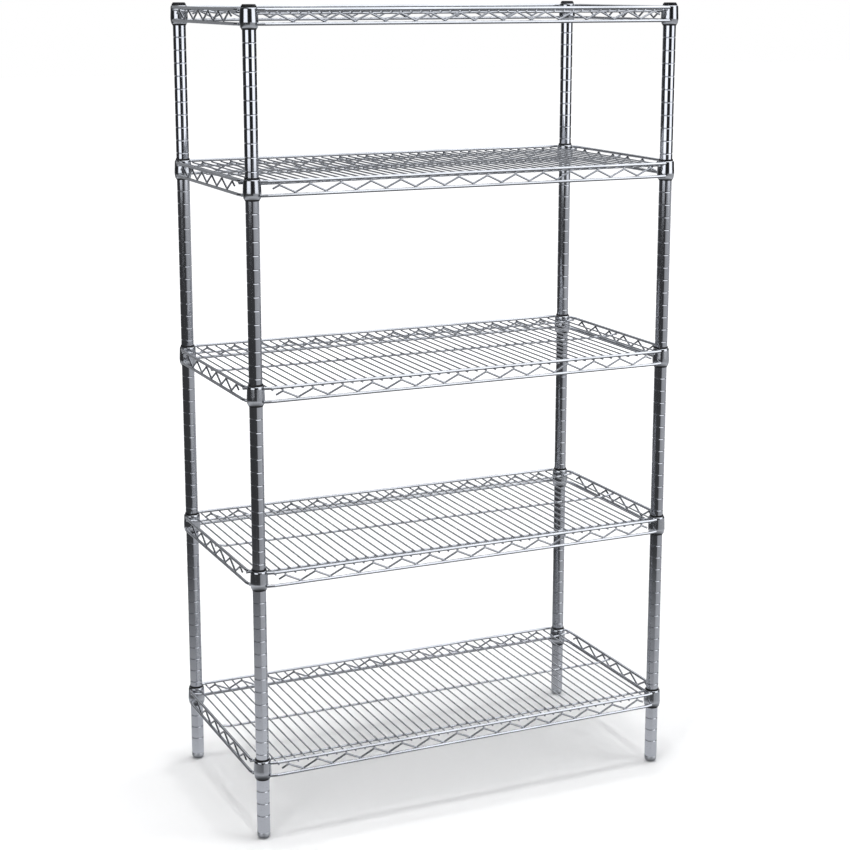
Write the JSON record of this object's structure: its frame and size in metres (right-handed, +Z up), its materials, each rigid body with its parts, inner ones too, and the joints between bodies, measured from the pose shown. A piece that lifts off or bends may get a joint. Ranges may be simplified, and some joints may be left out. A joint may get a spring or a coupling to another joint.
{
  "type": "wire shelving rack",
  "caption": "Chrome wire shelving rack: grooved corner posts carrying open wire-deck shelves that wedge on tapered split sleeves, with levelling feet and post caps.",
  "frame": {"origin": "on the floor, midway between the four posts", "axes": "+Z up along the posts, +X to the right along the shelf's length as seen from the front, front towards -Y"},
  "size_m": [0.9144, 0.4572, 1.5892],
  "materials": {
    "post_chrome": "bright chrome plate, lightly worn",
    "rail_chrome": "bright chrome plate",
    "wire_chrome": "bright chrome plate",
    "collar_chrome": "chrome plate over formed steel",
    "sleeve_plastic": "moulded, satin",
    "cap_plastic": "moulded, satin",
    "foot_steel": "plated, satin",
    "insert_steel": "zinc plated"
  },
  "bodies": {
    "posts": {"post_front_left": "post_chrome", "post_cap_front_left": "cap_plastic", "foot_insert_front_left": "insert_steel", "post_front_right": "post_chrome", "post_cap_front_right": "cap_plastic", "foot_insert_front_right": "insert_steel", "post_back_left": "post_chrome", "post_cap_back_left": "cap_plastic", "foot_insert_back_left": "insert_steel", "post_back_right": "post_chrome", "post_cap_back_right": "cap_plastic", "foot_insert_back_right": "insert_steel", "sleeve_outer_halves_1": "sleeve_plastic", "sleeve_inner_halves_1": "sleeve_plastic", "sleeve_outer_halves_2": "sleeve_plastic", "sleeve_inner_halves_2": "sleeve_plastic", "sleeve_outer_halves_3": "sleeve_plastic", "sleeve_inner_halves_3": "sleeve_plastic", "sleeve_outer_halves_4": "sleeve_plastic", "sleeve_inner_halves_4": "sleeve_plastic", "sleeve_outer_halves_5": "sleeve_plastic", "sleeve_inner_halves_5": "sleeve_plastic"},
    "shelf_1": {"corner_collars_1": "collar_chrome", "top_rails_1": "rail_chrome", "bottom_rails_1": "rail_chrome", "snake_trusses_1": "wire_chrome", "deck_wires_1": "wire_chrome", "support_wires_1": "wire_chrome"},
    "shelf_2": {"corner_collars_2": "collar_chrome", "top_rails_2": "rail_chrome", "bottom_rails_2": "rail_chrome", "snake_trusses_2": "wire_chrome", "deck_wires_2": "wire_chrome", "support_wires_2": "wire_chrome"},
    "shelf_3": {"corner_collars_3": "collar_chrome", "top_rails_3": "rail_chrome", "bottom_rails_3": "rail_chrome", "snake_trusses_3": "wire_chrome", "deck_wires_3": "wire_chrome", "support_wires_3": "wire_chrome"},
    "shelf_4": {"corner_collars_4": "collar_chrome", "top_rails_4": "rail_chrome", "bottom_rails_4": "rail_chrome", "snake_trusses_4": "wire_chrome", "deck_wires_4": "wire_chrome", "support_wires_4": "wire_chrome"},
    "shelf_5": {"corner_collars_5": "collar_chrome", "top_rails_5": "rail_chrome", "bottom_rails_5": "rail_chrome", "snake_trusses_5": "wire_chrome", "deck_wires_5": "wire_chrome", "support_wires_5": "wire_chrome"},
    "foot_front_left": {"levelling_foot_front_left": "foot_steel"},
    "foot_front_right": {"levelling_foot_front_right": "foot_steel"},
    "foot_back_left": {"levelling_foot_back_left": "foot_steel"},
    "foot_back_right": {"levelling_foot_back_right": "foot_steel"}
  },
  "joints": [
    {"name": "shelf_1_lift", "type": "slide", "parent": "posts", "child": "shelf_1", "axis": [0, 0, 1], "range_m": [0, 0.05]},
    {"name": "shelf_2_lift", "type": "slide", "parent": "posts", "child": "shelf_2", "axis": [0, 0, 1], "range_m": [0, 0.264]},
    {"name": "shelf_3_lift", "type": "slide", "parent": "posts", "child": "shelf_3", "axis": [0, 0, 1], "range_m": [0, 0.34]},
    {"name": "shelf_4_lift", "type": "slide", "parent": "posts", "child": "shelf_4", "axis": [0, 0, 1], "range_m": [0, 0.315]},
    {"name": "shelf_5_lift", "type": "slide", "parent": "posts", "child": "shelf_5", "axis": [0, 0, 1], "range_m": [0, 0.34]},
    {"name": "foot_front_left_level", "type": "slide", "parent": "posts", "child": "foot_front_left", "axis": [0, 0, -1], "range_m": [0, 0.02]},
    {"name": "foot_front_right_level", "type": "slide", "parent": "posts", "child": "foot_front_right", "axis": [0, 0, -1], "range_m": [0, 0.02]},
    {"name": "foot_back_left_level", "type": "slide", "parent": "posts", "child": "foot_back_left", "axis": [0, 0, -1], "range_m": [0, 0.02]},
    {"name": "foot_back_right_level", "type": "slide", "parent": "posts", "child": "foot_back_right", "axis": [0, 0, -1], "range_m": [0, 0.02]}
  ]
}
